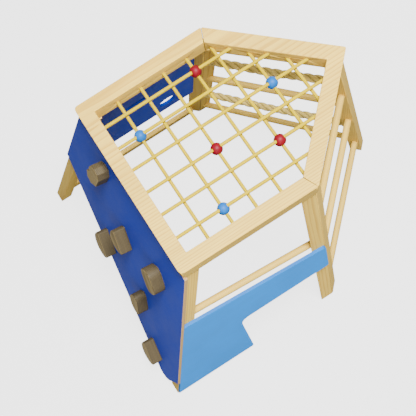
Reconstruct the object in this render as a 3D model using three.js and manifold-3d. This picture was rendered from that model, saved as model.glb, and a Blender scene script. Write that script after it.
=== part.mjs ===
// Toddler climbing frame: a five-sided timber frame on splayed legs, with a rope
// net on top, a climbing wall in front, a crawl-through panel on the right, a
// board with hand holes on the left and rungs on the two rear sides.
// Millimetres, +Z up, climbing wall facing -Y, origin at the middle of the
// bounding box on the floor.
import * as THREE from 'three';
import { mergeVertices } from 'three/addons/utils/BufferGeometryUtils.js';
import Module from 'manifold-3d';

const wasm = await Module();
wasm.setup();

// ---- driving dimensions ----------------------------------------------------
const HALF = 450;          // half the front width of the top frame
const SIDE = 665;          // length of each parallel side of the top frame
const BEAM_W = 70;         // top frame timber, seen from above
const BEAM_H = 75;         // top frame timber, height
const H0 = 1090;           // underside of the top frame
const TOP = H0 + BEAM_H;
const SPLAY = 270;         // how far the side legs move out, top to floor
const SPLAY_FRONT = 390;   // the same for the front
const REAR_FOOT = [60, 228];  // how far the rear leg leans to the right and back
const LEG = 68;            // side of the square legs
const LEG_RHOMB = 78;      // side of the two split corner legs
const LEG_INSET = 6;       // legs stand this far inside the frame's edge
const WALL_T = 15;         // climbing wall and right panel thickness
const WALL_INSET = 2;      // wall face behind the frame's front edge
const BOARD_T = 18;        // left board thickness
const ROPE_R = 8;          // net rope
const PITCH = 120;         // net mesh
const NET_Z = TOP - 35;    // middle of the net
const LAYER = 9;           // each layer of ropes above or below the middle
const NET_Y0 = 179;        // first cross rope behind the front edge
const ROPE_IN = 25;        // rope end inside the timber
const BALL_R = 27;
const ROD_R = 17.5;        // round rungs
const RUNG_ROPE_R = 21;    // rope rungs
const RUNG_IN = 12;        // rung end inside a leg
const SAG = 9;             // rope rung sag
const GAP = 0.3;

const tilt = Math.atan2(SPLAY_FRONT, H0);
const sideTilt = Math.atan2(SPLAY, H0);
const out = (z) => 1 - z / H0;             // 0 under the frame, 1 on the floor
const frontY = (z, y = 0) => y - SPLAY_FRONT * out(z);
const legFront = WALL_INSET + WALL_T / Math.cos(tilt) + 0.4;
const sideX = HALF - LEG_INSET;
const rearC = HALF + SIDE - LEG_INSET * Math.SQRT2;   // rear leg planes: |x| + y

// ---- colours ---------------------------------------------------------------
const paint = (color, roughness) =>
  new THREE.MeshStandardMaterial({ color, roughness, metalness: 0 });
const pale = () => paint(0xecd2a0, 0.6);
const shade = () => paint(0xc9ad80, 0.65);
const blue = () => paint(0x2f55a8, 0.45);
const sky = () => paint(0x4aa9dd, 0.45);
const yellow = () => paint(0xf4d62a, 0.7);
const red = () => paint(0xd7263d, 0.35);
const hemp = () => paint(0xcdb983, 0.85);

// ---- solids ----------------------------------------------------------------
function toSolid(geometry) {
  const g = geometry.clone();
  g.deleteAttribute('normal');
  g.deleteAttribute('uv');
  const m = mergeVertices(g, 1e-4);
  return new wasm.Manifold(new wasm.Mesh({
    numProp: 3,
    vertProperties: new Float32Array(m.attributes.position.array),
    triVerts: new Uint32Array(m.index.array),
  }));
}

function toGeometry(solid) {
  const mesh = solid.getMesh();
  const g = new THREE.BufferGeometry();
  g.setAttribute('position', new THREE.BufferAttribute(mesh.vertProperties, 3));
  g.setIndex(new THREE.BufferAttribute(mesh.triVerts, 1));
  return g;
}

function cut(geometry, tools) {
  let solid = toSolid(geometry);
  for (const tool of tools) solid = solid.subtract(toSolid(tool));
  return toGeometry(solid);
}

// round bar between two points
function bar(a, b, radius, segments = 16) {
  const from = new THREE.Vector3(...a);
  const along = new THREE.Vector3(...b).sub(from);
  const g = new THREE.CylinderGeometry(radius, radius, along.length(), segments);
  const turn = new THREE.Quaternion().setFromUnitVectors(
    new THREE.Vector3(0, 1, 0), along.clone().normalize());
  g.applyQuaternion(turn);
  const mid = from.addScaledVector(along, 0.5);
  return g.translate(mid.x, mid.y, mid.z);
}

function prism(shape, depth) {
  return new THREE.ExtrudeGeometry(shape, { depth, bevelEnabled: false, curveSegments: 8 });
}

// a shape with straight edges whose corners are rounded by their third number
function rounded(points) {
  const shape = new THREE.Shape();
  const n = points.length;
  points.forEach(([x, y, r = 0], i) => {
    const p = new THREE.Vector2(x, y);
    const before = new THREE.Vector2(...points[(i + n - 1) % n].slice(0, 2)).sub(p);
    const after = new THREE.Vector2(...points[(i + 1) % n].slice(0, 2)).sub(p);
    const half = before.angleTo(after) / 2;
    const reach = r / Math.tan(half);
    const a = p.clone().addScaledVector(before.normalize(), reach);
    const b = p.clone().addScaledVector(after.normalize(), reach);
    if (i === 0) shape.moveTo(a.x, a.y); else shape.lineTo(a.x, a.y);
    if (r > 0) shape.quadraticCurveTo(p.x, p.y, b.x, b.y);
  });
  shape.closePath();
  return shape;
}

function bend(geometry, move) {
  const p = geometry.attributes.position;
  for (let i = 0; i < p.count; i += 1) {
    p.setXYZ(i, ...move(p.getX(i), p.getY(i), p.getZ(i)));
  }
  return geometry;
}

// a leg: its plan under the frame, leaning out by (dx, dy) at the floor
function leg(plan, dx, dy) {
  return bend(prism(rounded(plan), H0 - GAP),
    (x, y, z) => [x + dx * out(z), y + dy * out(z), z]);
}

// a board in a side plane: shape in (y, z), at a depth x inside the leg face
function sideBoard(shape, sign, depth, thickness) {
  const t = thickness / Math.cos(sideTilt);
  const x0 = sign > 0 ? sideX - depth - t : depth - sideX;
  return bend(prism(shape, t), (y, z, d) => [x0 + d + sign * SPLAY * out(z), y, z]);
}

const model = new THREE.Group();
function add(name, geometry, material) {
  const mesh = new THREE.Mesh(geometry, material);
  mesh.name = name;
  mesh.geometry.computeVertexNormals();
  model.add(mesh);
  return mesh;
}

// ---- rope net --------------------------------------------------------------
const inner = HALF - BEAM_W;
const innerApex = HALF + SIDE - BEAM_W * Math.SQRT2;  // inner rear edges: |x| + y
const ropes = [];
for (let i = 0; i < 6; i += 1) {
  const x = (i - 2.5) * PITCH;
  const end = innerApex - Math.abs(x) + ROPE_IN * Math.SQRT2;
  ropes.push({ name: `net_rope_long_${i + 1}`, z: NET_Z + LAYER,
    a: [x, BEAM_W - ROPE_IN], b: [x, end] });
}
for (let j = 0; j < 7; j += 1) {
  const y = NET_Y0 + j * PITCH;
  const half = y < innerApex - inner ? inner + ROPE_IN
    : innerApex - y + ROPE_IN * Math.SQRT2;
  ropes.push({ name: `net_rope_cross_${j + 1}`, z: NET_Z - LAYER,
    a: [-half, y], b: [half, y] });
}
for (const { name, z, a, b } of ropes) {
  add(name, bar([...a, z], [...b, z], ROPE_R, 12), yellow());
}
// the holes go a little deeper than the rope ends
const netHoles = ropes.flatMap(({ z, a, b }) => {
  const d = new THREE.Vector2(b[0] - a[0], b[1] - a[1]).normalize().multiplyScalar(4);
  return [
    bar([a[0] - d.x, a[1] - d.y, z], [a[0] + 18 * d.x, a[1] + 18 * d.y, z], ROPE_R + GAP, 12),
    bar([b[0] + d.x, b[1] + d.y, z], [b[0] - 18 * d.x, b[1] - 18 * d.y, z], ROPE_R + GAP, 12),
  ];
});

// balls threaded on the crossings: [long rope, cross rope, colour]
const balls = [[0, 3, red], [3, 2, red], [4, 4, red], [1, 0, sky], [2, 5, sky], [5, 1, sky]];
balls.forEach(([i, j, colour], k) => {
  const x = (i - 2.5) * PITCH;
  const y = NET_Y0 + j * PITCH;
  const ball = new THREE.SphereGeometry(BALL_R, 24, 16).rotateX(Math.PI / 2)
    .translate(x, y, NET_Z);
  add(`net_ball_${k + 1}`, cut(ball, [
    bar([x, y - 40, NET_Z + LAYER], [x, y + 40, NET_Z + LAYER], ROPE_R + GAP, 12),
    bar([x - 40, y, NET_Z - LAYER], [x + 40, y, NET_Z - LAYER], ROPE_R + GAP, 12),
  ]), colour());
});

// ---- top frame: a front U and a rear V, meeting on the two side corners -----
const seamY = innerApex - inner;                 // inner end of each seam
const frontFrame = rounded([
  [-HALF, SIDE, 6], [-HALF, 0, 24], [HALF, 0, 24], [HALF, SIDE, 6],
  [inner, seamY], [inner, BEAM_W], [-inner, BEAM_W], [-inner, seamY]]);
const rearFrame = rounded([
  [-HALF, SIDE + 1.2, 6], [-inner, seamY + 1.2], [0, innerApex + 1.2],
  [inner, seamY + 1.2], [HALF, SIDE + 1.2, 6], [0, HALF + SIDE + 1.2, 10]]);
add('top_frame_front', cut(prism(frontFrame, BEAM_H).translate(0, 0, H0), netHoles), pale());
add('top_frame_rear', cut(prism(rearFrame, BEAM_H).translate(0, 0, H0), netHoles), pale());

// ---- rungs of the two rear sides --------------------------------------------
// measured along the side, between the face of the split leg and the rear leg
const rungLine = rearC - (LEG_RHOMB / Math.SQRT2 / 2) * Math.SQRT2;
const legFace = sideX - LEG_RHOMB / Math.SQRT2;
const rearFace = rearC - LEG * Math.SQRT2;
function rungEnds(z, sign, inset) {
  const s = out(z) * SPLAY;
  const d = inset / Math.SQRT2;
  const xa = legFace + s + d;
  const xb = (rungLine - rearFace) / 2 - d;
  return [[sign * xa, rungLine + s - xa, z],
    [sign * xb + REAR_FOOT[0] * out(z), rungLine + REAR_FOOT[1] * out(z) - xb, z]];
}
const rungs = [
  ['rear_left_rope_upper', -1, 868, true], ['rear_left_rung_middle', -1, 605, false],
  ['rear_left_rope_lower', -1, 315, true], ['rear_left_rung_bottom', -1, 85, false],
  ['rear_right_rung_upper', 1, 805, false], ['rear_right_rung_middle', 1, 485, false],
  ['rear_right_rung_bottom', 1, 135, false]];
const rungHoles = [];
for (const [name, sign, z, isRope] of rungs) {
  const [a, b] = rungEnds(z, sign, RUNG_IN);
  const [ha, hb] = rungEnds(z, sign, RUNG_IN + 1.5);
  const r = isRope ? RUNG_ROPE_R : ROD_R;
  rungHoles.push(bar(ha, hb, r + GAP, 24));
  if (!isRope) {
    add(name, bar(a, b, r, 24), shade());
    continue;
  }
  // a thick rope hangs a little in the middle and enters the legs level
  const [from, to] = [new THREE.Vector3(...a), new THREE.Vector3(...b)];
  const points = [0, 0.06, 0.28, 0.5, 0.72, 0.94, 1].map((t) =>
    from.clone().lerp(to, t).add(new THREE.Vector3(0, 0, -SAG * Math.sin(
      Math.PI * Math.min(1, Math.max(0, (t - 0.06) / 0.88))) ** 2)));
  const ring = new THREE.Shape();
  ring.absarc(0, 0, r, 0, Math.PI * 2, false);
  add(name, new THREE.ExtrudeGeometry(ring, { steps: 16, curveSegments: 9,
    bevelEnabled: false, extrudePath: new THREE.CatmullRomCurve3(points) }), hemp());
}

// ---- right side rail, just behind the top of the panel, lower at the rear -------
const RAIL_FRONT_Z = 702;
const RAIL_REAR_Z = 618;
const railX = (z) => sideX - 33 + SPLAY * out(z);
const railY0 = frontY(RAIL_FRONT_Z, legFront + LEG);
const railY1 = rearC - sideX - LEG_RHOMB + 33;
const railPoint = (y) => {
  const z = RAIL_FRONT_Z + (RAIL_REAR_Z - RAIL_FRONT_Z) * (y - railY0) / (railY1 - railY0);
  return [railX(z), y, z];
};
add('right_rail', bar(railPoint(railY0 - RUNG_IN), railPoint(railY1 + 8), ROD_R, 24), shade());
const railHole = bar(railPoint(railY0 - RUNG_IN - 1.5), railPoint(railY1 + 9.5),
  ROD_R + GAP, 24);

// ---- legs ---------------------------------------------------------------------
const square = (sign) => {
  const [x0, x1] = [sign * sideX, sign * (sideX - LEG)];
  return [[x0, legFront, 4], [x1, legFront, 4], [x1, legFront + LEG, 4],
    [x0, legFront + LEG, 4]];
};
add('leg_front_left', leg(square(-1), -SPLAY, -SPLAY_FRONT), pale());
add('leg_front_right', cut(leg(square(1), SPLAY, -SPLAY_FRONT), [railHole]), pale());

// the side corners: a rhombus in plan, made of two posts that meet on its short
// diagonal, one for the front module and one for the rear module
const outer = [sideX, rearC - sideX];
const slant = LEG_RHOMB / Math.SQRT2;
const innerPt = [sideX - slant, outer[1] - LEG_RHOMB + slant];
const seam = 0.6;
for (const [side, sign] of [['left', -1], ['right', 1]]) {
  const f = ([x, y, r]) => [sign * x, y, r];
  const front = [[outer[0], outer[1] - seam, 3], [sideX, outer[1] - LEG_RHOMB, 5],
    [innerPt[0], innerPt[1] - seam, 3]].map(f);
  const rear = [[outer[0], outer[1] + seam, 3], [innerPt[0], innerPt[1] + seam, 3],
    [innerPt[0], innerPt[1] + LEG_RHOMB, 5]].map(f);
  const frontLeg = leg(front, sign * SPLAY, 0);
  add(`leg_${side}_front_half`, sign > 0 ? cut(frontLeg, [railHole]) : frontLeg, pale());
  add(`leg_${side}_rear_half`, cut(leg(rear, sign * SPLAY, 0), rungHoles), pale());
}
const k = LEG / Math.SQRT2;
add('leg_rear', cut(leg([[0, rearC, 8], [-k, rearC - k, 4], [0, rearC - 2 * k, 4],
  [k, rearC - k, 4]], ...REAR_FOOT), rungHoles), pale());

// ---- climbing wall --------------------------------------------------------------
const wallRight = (z) => sideX + WALL_T / Math.cos(sideTilt) + 1 + SPLAY * out(z);
const wallLeft = (z) => -(sideX + 2) - SPLAY * out(z);
const WALL_CORNER = 645;   // height of the left corner, where the long slope starts
const wall = new THREE.Shape();
wall.moveTo(wallLeft(H0), H0 - 0.5);
wall.lineTo(wallLeft(WALL_CORNER), WALL_CORNER);
wall.lineTo(548, 10);
wall.quadraticCurveTo(556, 5, 566, 5);
wall.bezierCurveTo(608, 6, 626, 22, 644, 62);
wall.bezierCurveTo(656, 90, 672, 128, wallRight(150), 150);
wall.lineTo(wallRight(H0), H0 - 0.5);
wall.closePath();
add('climbing_wall', bend(prism(wall, WALL_T / Math.cos(tilt)),
  (x, z, d) => [x, frontY(z, WALL_INSET + WALL_T / Math.cos(tilt) - d), z]), blue());

// ---- right panel with the crawl opening ----------------------------------------
const panelFront = (z) => frontY(z, legFront + 0.2);
const PANEL_TOP_FRONT = 704;
const PANEL_TOP_REAR = 606;
const BAND_BOTTOM = 410;
const PANEL_BOTTOM = 28;
const DOOR_Y = 130;
add('right_panel', sideBoard(rounded([
  [panelFront(PANEL_TOP_FRONT), PANEL_TOP_FRONT], [panelFront(PANEL_BOTTOM), PANEL_BOTTOM],
  [DOOR_Y, PANEL_BOTTOM, 14], [DOOR_Y, BAND_BOTTOM, 48],
  [outer[1] - 4, BAND_BOTTOM, 16], [outer[1] - 4, PANEL_TOP_REAR, 16],
]), 1, -(GAP + WALL_T / Math.cos(sideTilt)), WALL_T), sky());

// ---- left board with a hand slot and a round hole --------------------------------
const BOARD_BOTTOM = 440;
const BOARD_IN = 14;       // depth of the board's outer face inside the legs
const boardFront = (z) => frontY(z, legFront + LEG + GAP);
const boardRear = outer[1] - LEG_RHOMB + BOARD_IN - GAP;
const board = rounded([[boardFront(H0), H0 - 0.5], [boardFront(BOARD_BOTTOM), BOARD_BOTTOM],
  [boardRear, BOARD_BOTTOM], [boardRear, H0 - 0.5]]);
const slot = new THREE.Path();
slot.absarc(220, 865, 16, Math.PI / 2, Math.PI * 1.5, false);
slot.absarc(304, 865, 16, -Math.PI / 2, Math.PI / 2, false);
slot.closePath();
const hole = new THREE.Path();
hole.absarc(435, 575, 52, 0, Math.PI * 2, true);
board.holes.push(slot, hole);
add('left_board', sideBoard(board, -1, BOARD_IN, BOARD_T), blue());

// ---- left bottom rail --------------------------------------------------------------
const [RAIL_LOW, RAIL_HIGH] = [32, 96];
add('left_rail', sideBoard(rounded([[boardFront(RAIL_HIGH), RAIL_HIGH],
  [boardFront(RAIL_LOW), RAIL_LOW], [boardRear, RAIL_LOW], [boardRear, RAIL_HIGH]]),
-1, BOARD_IN, 28), shade());

// ---- climbing holds: thick wooden blocks on the wall --------------------------------
const HOLD_T = 60;
// D shape: a straight back of the given length and a bulging front
function dShape(length, width, corner = 8) {
  const h = length / 2;
  const s = new THREE.Shape();
  s.moveTo(-h, width * 0.18);
  s.quadraticCurveTo(-h, width * 0.5, -h + corner, width * 0.5);
  s.lineTo(h - corner, width * 0.5);
  s.quadraticCurveTo(h, width * 0.5, h, width * 0.18);
  s.bezierCurveTo(h * 0.72, -width * 0.62, -h * 0.72, -width * 0.62, -h, width * 0.18);
  return s;
}
// rounded block with a slight bend
function beanShape(length, width) {
  const h = length / 2;
  const w = width / 2;
  const s = new THREE.Shape();
  s.moveTo(-h, -w * 0.2);
  s.bezierCurveTo(-h, w * 0.9, -h * 0.6, w * 1.25, -h * 0.2, w * 1.1);
  s.bezierCurveTo(h * 0.3, w * 0.95, h, w * 1.2, h, w * 0.1);
  s.bezierCurveTo(h, -w * 0.9, h * 0.7, -w, h * 0.4, -w);
  s.bezierCurveTo(0, -w * 0.95, -h, -w * 1.3, -h, -w * 0.2);
  return s;
}
// irregular faceted block with a small step in its edge
function facetShape() {
  return rounded([[5, 74, 8], [38, 70, 8], [50, 30, 8], [34, -40, 8], [-10, -72, 8],
    [-48, -62, 8], [-56, -18, 5], [-38, -2, 3], [-40, 30, 5], [-26, 60, 6]]);
}
// [shape, x, z, turn in degrees]
const holds = [
  [facetShape(), -203, 975, 0], [dShape(148, 90), -95, 482, -43],
  [dShape(130, 92), 28, 735, -43], [beanShape(134, 84), 316, 842, -40],
  [dShape(136, 86, 34), 262, 458, -66], [dShape(140, 88), 456, 150, -32]];
holds.forEach(([shape, x, z, turn], i) => {
  const mesh = add(`hold_${i + 1}`, prism(shape, HOLD_T).rotateZ(turn * Math.PI / 180), shade());
  const n = new THREE.Vector3(0, -Math.cos(tilt), Math.sin(tilt));
  mesh.position.set(x, frontY(z, WALL_INSET), z).addScaledVector(n, GAP);
  mesh.rotation.x = Math.PI / 2 - tilt;
});

// ---- whole object: middle of the footprint on the origin -----------------------------
const size = new THREE.Box3().setFromObject(model, true);
model.position.set(-(size.min.x + size.max.x) / 2, -(size.min.y + size.max.y) / 2, -size.min.z);
const group = new THREE.Group();
group.add(model);

export default group;
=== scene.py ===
"""Looks for the toddler climbing frame: timber, paint, net, rope rungs and balls."""
import math

import bmesh
import bpy
from mathutils import Matrix, Vector


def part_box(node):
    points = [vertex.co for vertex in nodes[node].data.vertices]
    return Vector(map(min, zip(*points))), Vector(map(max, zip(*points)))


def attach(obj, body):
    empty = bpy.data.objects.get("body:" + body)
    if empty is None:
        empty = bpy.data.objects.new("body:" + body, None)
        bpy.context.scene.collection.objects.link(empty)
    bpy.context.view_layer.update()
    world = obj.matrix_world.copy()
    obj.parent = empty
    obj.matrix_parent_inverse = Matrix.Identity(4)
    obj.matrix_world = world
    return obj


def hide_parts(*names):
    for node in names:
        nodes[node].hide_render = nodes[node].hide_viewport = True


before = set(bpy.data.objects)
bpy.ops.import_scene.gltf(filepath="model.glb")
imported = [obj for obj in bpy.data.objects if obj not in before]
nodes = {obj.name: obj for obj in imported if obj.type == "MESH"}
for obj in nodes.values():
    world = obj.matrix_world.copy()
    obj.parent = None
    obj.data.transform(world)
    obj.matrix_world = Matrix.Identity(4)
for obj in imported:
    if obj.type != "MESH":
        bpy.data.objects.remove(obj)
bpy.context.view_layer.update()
scene = bpy.context.scene


# ---- camera ---------------------------------------------------------------
def make_camera():
    data = bpy.data.cameras.new("camera")
    camera = bpy.data.objects.new("camera", data)
    scene.collection.objects.link(camera)
    place = (1.1125, -0.4481, 3.7802)
    right = Vector((0.52643, 0.84106, -0.12446))
    down = Vector((0.80762, -0.54042, -0.23599))
    ahead = Vector((-0.26574, 0.02371, -0.96375))
    turn = Matrix((right, -down, -ahead)).transposed()
    camera.matrix_world = Matrix.Translation(place) @ turn.to_4x4()
    data.lens, data.sensor_width = 57.96, 36
    data.shift_x, data.shift_y = 0.0433, 0.1106
    data.clip_end = 60
    scene.camera = camera


make_camera()


# ---- shader helpers -------------------------------------------------------
def rgb(r, g, b):
    """Linear colour from the usual 0-255 numbers."""
    return tuple((c / 255 / 12.92) if c < 10.3 else ((c / 255 + 0.055) / 1.055) ** 2.4
                 for c in (r, g, b)) + (1,)


def material(name):
    mat = bpy.data.materials.new(name)
    mat.use_nodes = True
    return mat, mat.node_tree, mat.node_tree.nodes["Principled BSDF"]


def add(nt, kind, settings=(), **inputs):
    """Adds a node, sets its properties and sockets, and returns its first output."""
    n = nt.nodes.new("ShaderNode" + kind)
    for key, value in dict(settings).items():
        setattr(n, key, value)
    for key, value in inputs.items():
        socket = n.inputs[int(key[1:])] if key[0] == "_" else n.inputs[key.replace("__", " ")]
        if isinstance(value, bpy.types.NodeSocket):
            nt.links.new(value, socket)
        else:
            socket.default_value = value
    return n.outputs[0]


def maths(nt, operation, a, b=0.5):
    return add(nt, "Math", {"operation": operation}, _0=a, _1=b)


def noise(nt, at, scale, detail=3.0, roughness=0.55):
    return add(nt, "TexNoise", Vector=at, Scale=scale, Detail=detail, Roughness=roughness)


def spread(nt, value, low, high, to_low, to_high):
    return add(nt, "MapRange", {"interpolation_type": "SMOOTHSTEP"}, Value=value,
               From__Min=low, From__Max=high, To__Min=to_low, To__Max=to_high)


def ramp(nt, value, *stops):
    n = nt.nodes.new("ShaderNodeValToRGB")
    nt.links.new(value, n.inputs[0])
    elements = n.color_ramp.elements
    while len(elements) < len(stops):
        elements.new(0.5)
    for element, (position, colour) in zip(elements, stops):
        element.position, element.color = position, colour
    return n.outputs[0]


def blend(nt, factor, a, b, mode="MIX"):
    n = nt.nodes.new("ShaderNodeMix")
    n.data_type, n.blend_type = "RGBA", mode
    for index, value in ((0, factor), (6, a), (7, b)):
        if isinstance(value, bpy.types.NodeSocket):
            nt.links.new(value, n.inputs[index])
        else:
            n.inputs[index].default_value = value
    return n.outputs[2]


def bump(nt, shader, height, strength, distance):
    n = nt.nodes.new("ShaderNodeBump")
    n.inputs["Strength"].default_value = strength
    n.inputs["Distance"].default_value = distance
    nt.links.new(height, n.inputs["Height"])
    nt.links.new(n.outputs[0], shader.inputs["Normal"])


def grey(value):
    return (value, value, value, 1)


# ---- materials ------------------------------------------------------------
def wood(name, along, light, dark, seed, rings=46.0, contrast=0.75):
    """Planed softwood whose grain runs along a direction."""
    mat, nt, shader = material(name)
    at = nt.nodes.new("ShaderNodeTexCoord").outputs["Object"]
    turn = Vector(along).rotation_difference(Vector((0, 1, 0))).to_euler()
    at = add(nt, "Mapping", Vector=at, Rotation=turn)
    at = add(nt, "Mapping", Vector=at,
             Location=(0.31 + 0.173 * seed, 0.57 * seed, 0.22 - 0.117 * seed))
    ring_at = add(nt, "Mapping", Vector=at, Scale=(1, 0.07, 1))
    ring = add(nt, "TexWave", {"wave_type": "RINGS", "rings_direction": "Y",
                               "wave_profile": "SAW"},
               Vector=ring_at, Scale=rings, Distortion=5.5, Detail=2.0,
               Detail__Scale=0.45, Detail__Roughness=0.5)
    late = spread(nt, ring, 0.45, 1.0, 0.0, 1.0)
    fibre = noise(nt, add(nt, "Mapping", Vector=at, Scale=(1, 0.02, 1)), 520, 4, 0.65)
    streak = noise(nt, add(nt, "Mapping", Vector=at, Scale=(1, 0.035, 1)), 70, 3, 0.6)
    tone = noise(nt, add(nt, "Mapping", Vector=at, Scale=(1, 0.2, 1)), 9, 2, 0.5)
    mix = maths(nt, "ADD", maths(nt, "MULTIPLY", late, 0.38),
                maths(nt, "ADD", maths(nt, "MULTIPLY", fibre, 0.34),
                      maths(nt, "MULTIPLY", streak, 0.42)))
    colour = ramp(nt, mix, (0.5 - 0.2 / contrast, light), (0.5 + 0.42 / contrast, dark))
    colour = blend(nt, 1.0, colour, ramp(nt, tone, (0.3, grey(0.93)), (0.7, grey(1.05))),
                   "MULTIPLY")
    nt.links.new(colour, shader.inputs["Base Color"])
    nt.links.new(spread(nt, fibre, 0.3, 0.7, 0.48, 0.66), shader.inputs["Roughness"])
    shader.inputs["Specular IOR Level"].default_value = 0.25
    relief = maths(nt, "ADD", maths(nt, "MULTIPLY", fibre, 0.7),
                   maths(nt, "MULTIPLY", late, 0.3))
    bump(nt, shader, relief, 0.35, 0.0006)
    return mat


def paint(name, colour, along, seed, rough=0.52):
    """Paint on plywood: the grain shows faintly under a slightly uneven film."""
    mat, nt, shader = material(name)
    at = nt.nodes.new("ShaderNodeTexCoord").outputs["Object"]
    turn = Vector(along).rotation_difference(Vector((0, 1, 0))).to_euler()
    at = add(nt, "Mapping", Vector=at, Rotation=turn)
    at = add(nt, "Mapping", Vector=at, Location=(0.7 * seed, 0.3 * seed, 0.5 * seed))
    film = noise(nt, at, 210, 3, 0.55)
    cloud = noise(nt, at, 4.5, 4, 0.6)
    grain = noise(nt, add(nt, "Mapping", Vector=at, Scale=(1, 0.04, 1)), 95, 4, 0.6)
    dark = tuple(c * 0.93 for c in colour[:3]) + (1,)
    light = tuple(min(1, c * 1.06) for c in colour[:3]) + (1,)
    shade = maths(nt, "ADD", maths(nt, "MULTIPLY", cloud, 0.7),
                  maths(nt, "MULTIPLY", grain, 0.3))
    nt.links.new(ramp(nt, shade, (0.35, dark), (0.65, light)), shader.inputs["Base Color"])
    nt.links.new(spread(nt, maths(nt, "ADD", cloud, maths(nt, "MULTIPLY", film, 0.6)),
                        0.5, 1.1, rough - 0.07, rough + 0.09), shader.inputs["Roughness"])
    shader.inputs["Specular IOR Level"].default_value = 0.25
    relief = maths(nt, "ADD", maths(nt, "MULTIPLY", grain, 0.65),
                   maths(nt, "MULTIPLY", film, 0.35))
    bump(nt, shader, relief, 0.22, 0.0007)
    return mat


def plies(name, across):
    """Bare plywood edge: thin light and dark layers across the board's thickness."""
    mat, nt, shader = material(name)
    at = nt.nodes.new("ShaderNodeTexCoord").outputs["Object"]
    turn = Vector(across).rotation_difference(Vector((0, 0, 1))).to_euler()
    at = add(nt, "Mapping", Vector=at, Rotation=turn)
    layer = add(nt, "TexWave", {"bands_direction": "Z"}, Vector=at, Scale=95.0,
                Distortion=0.6, Detail=2.0, Detail__Scale=2.0)
    fibre = noise(nt, at, 600, 3, 0.6)
    mix = maths(nt, "ADD", maths(nt, "MULTIPLY", layer, 0.7),
                maths(nt, "MULTIPLY", fibre, 0.3))
    nt.links.new(ramp(nt, mix, (0.25, rgb(232, 190, 118)), (0.75, rgb(150, 112, 62))),
                 shader.inputs["Base Color"])
    nt.links.new(spread(nt, fibre, 0.3, 0.7, 0.6, 0.8), shader.inputs["Roughness"])
    bump(nt, shader, mix, 0.3, 0.0006)
    return mat


def braid(name, colour, dark):
    """Braided cord. UV is metres along and one turn round."""
    mat, nt, shader = material(name)
    uv = nt.nodes.new("ShaderNodeTexCoord").outputs["UV"]
    xyz = nt.nodes.new("ShaderNodeSeparateXYZ")
    nt.links.new(uv, xyz.inputs[0])
    strands, lay = 8, 0.062
    along = maths(nt, "MULTIPLY", xyz.outputs[0], math.pi * strands / lay)
    round_ = maths(nt, "MULTIPLY", xyz.outputs[1], math.pi * strands)
    cos_a = maths(nt, "COSINE", maths(nt, "ADD", round_, along))
    cos_b = maths(nt, "COSINE", maths(nt, "SUBTRACT", round_, along))
    over = spread(nt, maths(nt, "MULTIPLY", cos_a, cos_b), -0.12, 0.12, 0, 1)
    rise_a = maths(nt, "MULTIPLY", maths(nt, "ABSOLUTE", cos_a), over)
    rise_b = maths(nt, "MULTIPLY", maths(nt, "ABSOLUTE", cos_b),
                   maths(nt, "SUBTRACT", 1.0, over))
    strand = maths(nt, "ADD", rise_a, rise_b)
    at = nt.nodes.new("ShaderNodeTexCoord").outputs["Object"]
    fuzz = noise(nt, at, 900, 3, 0.6)
    tone = noise(nt, at, 30, 3, 0.6)
    # painted shade: the hollows between the braid's strands are darker
    base = ramp(nt, strand, (0.05, dark), (0.55, colour))
    base = blend(nt, 1.0, base, ramp(nt, tone, (0.3, grey(0.94)), (0.7, grey(1.05))),
                 "MULTIPLY")
    nt.links.new(base, shader.inputs["Base Color"])
    nt.links.new(spread(nt, fuzz, 0.3, 0.7, 0.5, 0.72), shader.inputs["Roughness"])
    shader.inputs["Specular IOR Level"].default_value = 0.05
    relief = maths(nt, "ADD", maths(nt, "MULTIPLY", strand, 0.85),
                   maths(nt, "MULTIPLY", fuzz, 0.15))
    bump(nt, shader, relief, 0.8, 0.0012)
    return mat


def twisted(name, colour, dark):
    """Natural three-strand rope. UV is metres along a strand and one turn round it."""
    mat, nt, shader = material(name)
    uv = nt.nodes.new("ShaderNodeTexCoord").outputs["UV"]
    at = nt.nodes.new("ShaderNodeTexCoord").outputs["Object"]
    xyz = nt.nodes.new("ShaderNodeSeparateXYZ")
    nt.links.new(uv, xyz.inputs[0])
    yarns_round, yarns_per_metre = 9, 140
    slant = maths(nt, "ADD",
                  maths(nt, "MULTIPLY", xyz.outputs[0], 2 * math.pi * yarns_per_metre),
                  maths(nt, "MULTIPLY", xyz.outputs[1], -2 * math.pi * yarns_round))
    wobble = maths(nt, "MULTIPLY", noise(nt, at, 160, 2, 0.5), 3.0)
    yarn = maths(nt, "ADD", maths(nt, "MULTIPLY",
                 maths(nt, "SINE", maths(nt, "ADD", slant, wobble)), 0.5), 0.5)
    fibre = noise(nt, at, 1400, 4, 0.65)
    tone = noise(nt, at, 45, 3, 0.6)
    groove_shade = nt.nodes.new("ShaderNodeAttribute")
    groove_shade.attribute_name = "groove_shade"
    # painted shade mixed with random fibre tone: the dips between the yarns are darker
    base = ramp(nt, maths(nt, "ADD", maths(nt, "MULTIPLY", yarn, 0.55),
                          maths(nt, "MULTIPLY", fibre, 0.45)), (0.15, dark), (0.7, colour))
    base = blend(nt, 1.0, base, ramp(nt, tone, (0.3, grey(0.86)), (0.7, grey(1.06))),
                 "MULTIPLY")
    # painted shade: the sides of the strands that lie in the grooves between them are darkened
    base = blend(nt, 1.0, base, ramp(nt, groove_shade.outputs["Fac"], (0.0, grey(1.0)),
                                     (0.6, grey(0.7)), (1.0, grey(0.2))), "MULTIPLY")
    nt.links.new(base, shader.inputs["Base Color"])
    nt.links.new(spread(nt, fibre, 0.3, 0.7, 0.72, 0.92), shader.inputs["Roughness"])
    shader.inputs["Specular IOR Level"].default_value = 0.15
    relief = maths(nt, "ADD", maths(nt, "MULTIPLY", yarn, 0.6),
                   maths(nt, "MULTIPLY", fibre, 0.4))
    bump(nt, shader, relief, 0.7, 0.0016)
    return mat


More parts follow.
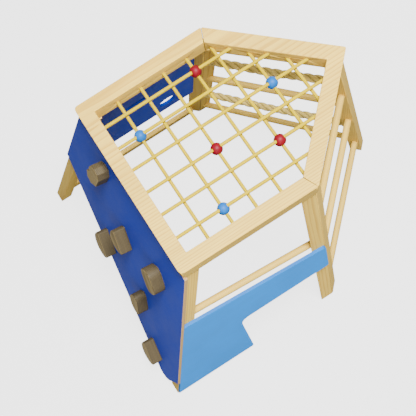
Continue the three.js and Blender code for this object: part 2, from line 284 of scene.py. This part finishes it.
def plastic(name, colour, rough=0.5):
    """Moulded ball: even colour, faint mottling and fine scuffs in the gloss."""
    mat, nt, shader = material(name)
    at = nt.nodes.new("ShaderNodeTexCoord").outputs["Object"]
    tone = noise(nt, at, 38, 3, 0.6)
    fine = noise(nt, at, 700, 3, 0.6)
    dark = tuple(c * 0.88 for c in colour[:3]) + (1,)
    light = tuple(min(1, c * 1.08) for c in colour[:3]) + (1,)
    nt.links.new(ramp(nt, tone, (0.35, dark), (0.65, light)), shader.inputs["Base Color"])
    nt.links.new(spread(nt, fine, 0.3, 0.7, rough - 0.05, rough + 0.1),
                 shader.inputs["Roughness"])
    shader.inputs["Specular IOR Level"].default_value = 0.3
    bump(nt, shader, fine, 0.1, 0.0003)
    return mat


# ---- carried-over CAD parts -------------------------------------------------
def round_edges(obj, width, segments, shortest):
    """Bevels an outer edge where its faces meet at an angle, so that it catches light."""
    mesh = obj.data
    place = [tuple(round(c * 1e5) for c in v.co) for v in mesh.vertices]
    sides = {}
    for p in mesh.polygons:
        p.use_smooth = True
        ring = list(p.vertices)
        for a, b in zip(ring, ring[1:] + ring[:1]):
            sides.setdefault(frozenset((place[a], place[b])), []).append(p.normal.copy())
    weights = mesh.attributes.new("bevel_weight_edge", "FLOAT", "EDGE")
    for e in mesh.edges:
        a, b = e.vertices
        faces = sides.get(frozenset((place[a], place[b])), [])
        sharp = len(faces) == 2 and faces[0].angle(faces[1], 0) > math.radians(35)
        length = (mesh.vertices[a].co - mesh.vertices[b].co).length
        weights.data[e.index].value = 1.0 if sharp and length >= shortest else 0.0
    weld = obj.modifiers.new("weld", "WELD")
    weld.merge_threshold = 0.00002
    bevel = obj.modifiers.new("bevel", "BEVEL")
    bevel.width, bevel.segments = width, segments
    bevel.limit_method = "WEIGHT"
    bevel.use_clamp_overlap = False
    normals = obj.modifiers.new("normals", "WEIGHTED_NORMAL")
    normals.keep_sharp = False


def dress(name, mat, width, segments, shortest=0.0, edge=None, face=None):
    """Gives a CAD part its material, and a board's edges their own; face is the board's normal."""
    obj = nodes[name]
    obj.data.materials.clear()
    obj.data.materials.append(mat)
    if edge:
        obj.data.materials.append(edge)
        for p in obj.data.polygons:
            p.material_index = int(abs(p.normal.dot(Vector(face).normalized())) < 0.7)
    round_edges(obj, width, segments, shortest)


SPLAY, SPLAY_FRONT, HEIGHT = 0.27, 0.39, 1.09
PALE, PALE_GRAIN = rgb(255, 216, 98), rgb(208, 158, 56)
TAN, TAN_GRAIN = rgb(178, 156, 104), rgb(112, 94, 58)
# painted shade: the next two colours are a darker copy of the hold wood, put on each hold's sides
# to stand for the shade on them
HOLD_SIDE_SHADE, HOLD_SIDE_SHADE_GRAIN = rgb(96, 84, 58), rgb(54, 46, 30)

# a timber's edges are rounded where they are longer than the facets of its corners
SHORTEST_EDGE = 0.012
TOP_ROUND, TIMBER_ROUND, BAR_ROUND, BOARD_ROUND, HOLD_ROUND = 0.0035, 0.003, 0.001, 0.0018, 0.0045

top_wood = wood("wood_top", (0, 1, 0), PALE, PALE_GRAIN, 1)
dress("top_frame_front", top_wood, TOP_ROUND, 3, SHORTEST_EDGE)
dress("top_frame_rear", top_wood, TOP_ROUND, 3, SHORTEST_EDGE)

legs = {"leg_front_left": (-SPLAY, -SPLAY_FRONT), "leg_front_right": (SPLAY, -SPLAY_FRONT),
        "leg_left_front_half": (-SPLAY, 0), "leg_left_rear_half": (-SPLAY, 0),
        "leg_right_front_half": (SPLAY, 0), "leg_right_rear_half": (SPLAY, 0),
        "leg_rear": (0, SPLAY)}
for k, (name, (dx, dy)) in enumerate(legs.items()):
    dress(name, wood("wood_" + name, (dx, dy, -HEIGHT), PALE, PALE_GRAIN, k + 2),
          TIMBER_ROUND, 3, SHORTEST_EDGE)

# painted shade: the faces that close the joints at the two side corners are darkened so that the
# seam shows as a dark shadow line
joint_shade_wood = wood("wood_joint_shade", (0, 0, 1), rgb(92, 70, 40), rgb(50, 36, 20), 30)
MITRE_DEGREES = 22.5


def darken_joint(name):
    """Darkens the faces on the mitre of a side corner, where a part meets its other half, as
    painted shade in the seam.
    """
    obj = nodes[name]
    obj.data.materials.append(joint_shade_wood)
    mitre = math.radians(MITRE_DEGREES)
    for p in obj.data.polygons:
        side = math.copysign(1, (obj.matrix_world @ p.center).x)
        facing = Vector((-side * math.sin(mitre), math.cos(mitre), 0))
        p.material_index = int(abs(p.normal.dot(facing)) > 0.98)


for name in ("top_frame_front", "top_frame_rear", "leg_left_front_half", "leg_left_rear_half",
             "leg_right_front_half", "leg_right_rear_half"):
    darken_joint(name)


def between(name, runs_left):
    """Direction of a straight bar towards the rear, from its box."""
    low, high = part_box(name)
    return Vector(((high.x - low.x) * (-1 if runs_left else 1), high.y - low.y, 0))


BAR_RINGS = 60
for k, name in enumerate(("rear_left_rung_middle", "rear_left_rung_bottom",
                          "rear_right_rung_upper", "rear_right_rung_middle",
                          "rear_right_rung_bottom")):
    way = between(name, "right" in name)
    dress(name, wood("wood_" + name, way, PALE, PALE_GRAIN, 12 + k, BAR_RINGS), BAR_ROUND, 2)
dress("right_rail", wood("wood_right_rail", (0, 1, -0.12), PALE, PALE_GRAIN, 18, BAR_RINGS),
      BAR_ROUND, 2)
dress("left_rail", wood("wood_left_rail", (0, 1, 0), PALE, PALE_GRAIN, 19),
      TIMBER_ROUND, 3, SHORTEST_EDGE)

WALL_BLUE, BOARD_BLUE = rgb(36, 66, 188), rgb(16, 66, 206)
# painted shade: the second sky colour is a darker blue for the panel's edges, so that its lit top
# edge doesn't show brighter than its face
SKY, SKY_EDGE_SHADE = rgb(0, 150, 246), rgb(0, 112, 200)
WALL_FACE, PANEL_FACE = (0, -HEIGHT, SPLAY_FRONT), (HEIGHT, 0, SPLAY)
LEAN, RISE = 0.34, 0.94
WALL_GRAIN = (0, -LEAN, RISE)
dress("climbing_wall", paint("paint_wall", WALL_BLUE, WALL_GRAIN, 1), BOARD_ROUND, 3,
      edge=plies("bare_ply_edge", WALL_FACE), face=WALL_FACE)
dress("left_board", paint("paint_board", BOARD_BLUE, (0, 1, 0), 2), BOARD_ROUND, 3)
# painted shade: the panel's edges get the darker blue, against the light along its top edge
dress("right_panel", paint("paint_panel", SKY, (0, 1, 0), 3), BOARD_ROUND, 3,
      edge=paint("paint_panel_edge_shade", SKY_EDGE_SHADE, (0, 1, 0), 4), face=PANEL_FACE)

# each hold's grain is turned on the wall by as many degrees as its outline
HOLD_RINGS, HOLD_CONTRAST = 52, 1.1
hold_turns = {1: 0, 2: -43, 3: -43, 4: -40, 5: -66, 6: -32}
for k, turn in hold_turns.items():
    t = math.radians(turn)
    way = (math.cos(t), LEAN * math.sin(t), RISE * math.sin(t))
    front = wood(f"wood_hold_{k}", way, TAN, TAN_GRAIN, 20 + k, HOLD_RINGS, HOLD_CONTRAST)
    # painted shade: each hold's sides take a darker copy of its front wood, for the shade on them
    side = wood(f"wood_hold_shaded_side_{k}", way, HOLD_SIDE_SHADE, HOLD_SIDE_SHADE_GRAIN, 20 + k,
                HOLD_RINGS, HOLD_CONTRAST)
    dress(f"hold_{k}", front, HOLD_ROUND, 3, edge=side, face=WALL_FACE)


# ---- ropes ------------------------------------------------------------------
def new_piece(name, bm, mat, stands_for):
    """Makes a smooth piece that rides the frame and takes the place of a CAD part."""
    bmesh.ops.recalc_face_normals(bm, faces=bm.faces)
    mesh = bpy.data.meshes.new(name)
    bm.to_mesh(mesh)
    bm.free()
    for p in mesh.polygons:
        p.use_smooth = True
    mesh.materials.append(mat)
    obj = bpy.data.objects.new(name, mesh)
    scene.collection.objects.link(obj)
    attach(obj, "root")
    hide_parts(stands_for)
    return obj


def frames(points):
    """(point, side, up, distance along) for each point of a line that is never upright."""
    made, gone = [], 0.0
    for i, p in enumerate(points):
        ahead = points[min(i + 1, len(points) - 1)] - points[max(i - 1, 0)]
        side = ahead.cross(Vector((0, 0, 1))).normalized()
        up = side.cross(ahead).normalized()
        if i:
            gone += (p - points[i - 1]).length
        made.append((p, side, up, gone))
    return made


def add_tube(bm, line, around, profile):
    """Adds a tube round a line; profile(distance, angle) gives its radius and how much painted
    groove shade it takes.
    """
    uv = bm.loops.layers.uv.verify()
    groove_shade = bm.verts.layers.float.get("groove_shade") or bm.verts.layers.float.new("groove_shade")
    rings = []
    for p, side, up, gone in line:
        ring = []
        for k in range(around):
            angle = 2 * math.pi * k / around
            radius, dark = profile(gone, angle)
            v = bm.verts.new(p + side * radius * math.cos(angle) + up * radius * math.sin(angle))
            v[groove_shade] = dark
            ring.append(v)
        rings.append(ring)
    for i in range(len(rings) - 1):
        for k in range(around):
            n = (k + 1) % around
            face = bm.faces.new((rings[i][k], rings[i][n], rings[i + 1][n], rings[i + 1][k]))
            for loop, (s, t) in zip(face.loops, ((i, k), (i, k + 1), (i + 1, k + 1), (i + 1, k))):
                loop[uv].uv = (line[s][3], t / around)
    for ring, s in ((rings[0], 0), (rings[-1], len(line) - 1)):
        face = bm.faces.new(ring)
        for loop, k in zip(face.loops, range(around)):
            loop[uv].uv = (line[s][3], k / around)


NET_R, RUNG_R = 0.008, 0.021
MESH = 0.12
NET_STEP, RUNG_STEP = 0.006, 0.003
net_mat = braid("net_rope", rgb(222, 194, 0), rgb(180, 142, 0))


def net_rope(kind, number, axis):
    """A taut braided rope along one axis, from end to end of its CAD part."""
    node = f"net_rope_{kind}_{number}"
    low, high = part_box(node)
    start, end = (low + high) / 2, (low + high) / 2
    start[axis], end[axis] = low[axis], high[axis]
    steps = round((end - start).length / NET_STEP)
    points = [start.lerp(end, i / steps) for i in range(steps + 1)]

    def profile(gone, angle):
        # drawn a little thinner near its crossings
        return NET_R * (0.985 - 0.015 * math.cos(2 * math.pi * gone / MESH)), 0.0

    bm = bmesh.new()
    add_tube(bm, frames(points), 20, profile)
    obj = new_piece(f"braided_{kind}_{number}", bm, net_mat, node)


for i in range(6):
    net_rope("long", i + 1, 1)
for j in range(7):
    net_rope("cross", j + 1, 0)

rung_mat = twisted("natural_rope", rgb(255, 230, 130), rgb(232, 192, 92))


def rope_rung(which):
    """Three strands laid round a line that hangs a little between its two legs."""
    node = f"rear_left_rope_{which}"
    low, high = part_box(node)
    reach = RUNG_R / math.sqrt(2)
    top = high.z - RUNG_R
    start = Vector((low.x + reach, low.y + reach, top))
    end = Vector((high.x - reach, high.y - reach, top))
    sag = top - (low.z + RUNG_R)
    steps = round((end - start).length / RUNG_STEP)
    points, held = [], 0.06  # the share of the rope inside each leg, which stays straight
    for i in range(steps + 1):
        t = i / steps
        drop = math.sin(math.pi * min(1, max(0, (t - held) / (1 - 2 * held)))) ** 2
        points.append(start.lerp(end, t) - Vector((0, 0, sag * drop)))
    line = frames(points)
    strand, orbit, lay = 0.0114, 0.0096, 0.150
    bm = bmesh.new()
    for s in range(3):
        centres = []
        for p, side, up, gone in line:
            a = 2 * math.pi * (s / 3 - gone / lay)
            centres.append(p + side * orbit * math.cos(a) + up * orbit * math.sin(a))
        mine = frames(centres)

        def profile(gone, angle, s=s, mine=mine):
            # the side of a strand that faces the middle of the rope lies in a groove, and is
            # painted darker there as shade
            i = min(len(mine) - 1, int(gone / mine[-1][3] * (len(mine) - 1) + 0.5))
            outward = (mine[i][0] - line[i][0]).normalized()
            here = mine[i][1] * math.cos(angle) + mine[i][2] * math.sin(angle)
            inside = 0.5 - 0.5 * here.dot(outward)
            return strand, min(1.0, max(0.0, (inside - 0.26) / 0.3))

        add_tube(bm, mine, 18, profile)
    obj = new_piece(f"twisted_rope_{which}", bm, rung_mat, node)


rope_rung("upper")
rope_rung("lower")


# ---- balls ------------------------------------------------------------------
LAYER = 0.018
MOUTH_R, MOUTH_DEPTH = 0.0115, 0.006
ball_mats = {"red": plastic("ball_red", rgb(130, 0, 24)),
             "blue": plastic("ball_blue", rgb(0, 104, 188))}


def ball(number, colour):
    """A drilled ball: the mouth of each rope channel is countersunk."""
    node = f"net_ball_{number}"
    low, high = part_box(node)
    centre, radius = (low + high) / 2, (high.z - low.z) / 2
    bm = bmesh.new()
    bmesh.ops.create_icosphere(bm, subdivisions=6, radius=radius)
    channels = ((0, -LAYER / 2), (1, LAYER / 2))  # along x in the lower layer, y in the upper
    for v in bm.verts:
        for axis, z in channels:
            off = math.hypot(v.co[1 - axis], v.co.z - z)
            if off < MOUTH_R and abs(v.co[axis]) > 0.01:
                depth = MOUTH_DEPTH * min(1.0, (MOUTH_R - off) / 0.0032) ** 1.6
                v.co[axis] -= math.copysign(depth, v.co[axis])
        v.co += centre
    new_piece(f"ball_{number}", bm, ball_mats[colour], node)


for number, colour in enumerate(("red", "red", "red", "blue", "blue", "blue"), 1):
    ball(number, colour)


# ---- floor and light ----------------------------------------------------------
def seen(nt, bright, plain):
    """A strength that is bright where the camera looks straight at it, and plain as light."""
    path = nt.nodes.new("ShaderNodeLightPath")
    return add(nt, "MapRange", Value=path.outputs["Is Camera Ray"],
               To__Min=plain, To__Max=bright)


def make_floor():
    mat, nt, shader = material("floor")
    at = nt.nodes.new("ShaderNodeTexCoord").outputs["Object"]
    cloud = noise(nt, at, 1.5, 3, 0.5)
    nt.links.new(ramp(nt, cloud, (0.3, grey(0.24)), (0.7, grey(0.26))),
                 shader.inputs["Base Color"])
    shader.inputs["Roughness"].default_value = 0.95
    shader.inputs["Specular IOR Level"].default_value = 0.05
    shader.inputs["Emission Color"].default_value = (1, 1, 1, 1)
    nt.links.new(seen(nt, 3.0, 0.0), shader.inputs["Emission Strength"])
    bm = bmesh.new()
    bmesh.ops.create_grid(bm, x_segments=2, y_segments=2, size=30)
    mesh = bpy.data.meshes.new("floor")
    bm.to_mesh(mesh)
    bm.free()
    mesh.materials.append(mat)
    floor = bpy.data.objects.new("floor", mesh)
    floor.location.z = -0.0005
    scene.collection.objects.link(floor)


def area_light(name, place, aim, size, power):
    data = bpy.data.lights.new(name, "AREA")
    data.shape, data.size, data.energy = "DISK", size, power
    lamp = bpy.data.objects.new(name, data)
    lamp.location = place
    lamp.rotation_euler = (Vector(aim) - Vector(place)).to_track_quat("-Z", "Y").to_euler()
    scene.collection.objects.link(lamp)


def make_light():
    world = bpy.data.worlds.new("studio")
    world.use_nodes = True
    nt = world.node_tree
    background = nt.nodes["Background"]
    background.inputs["Color"].default_value = (1, 1, 1, 1)
    nt.links.new(seen(nt, 3.3, 0.24), background.inputs["Strength"])
    scene.world = world
    area_light("key", (0.7, 0.5, 5.6), (0, 0, 0.6), 2.0, 640)
    area_light("fill", (3.6, -1.6, 2.2), (0, 0, 0.6), 2.4, 60)


make_floor()
make_light()
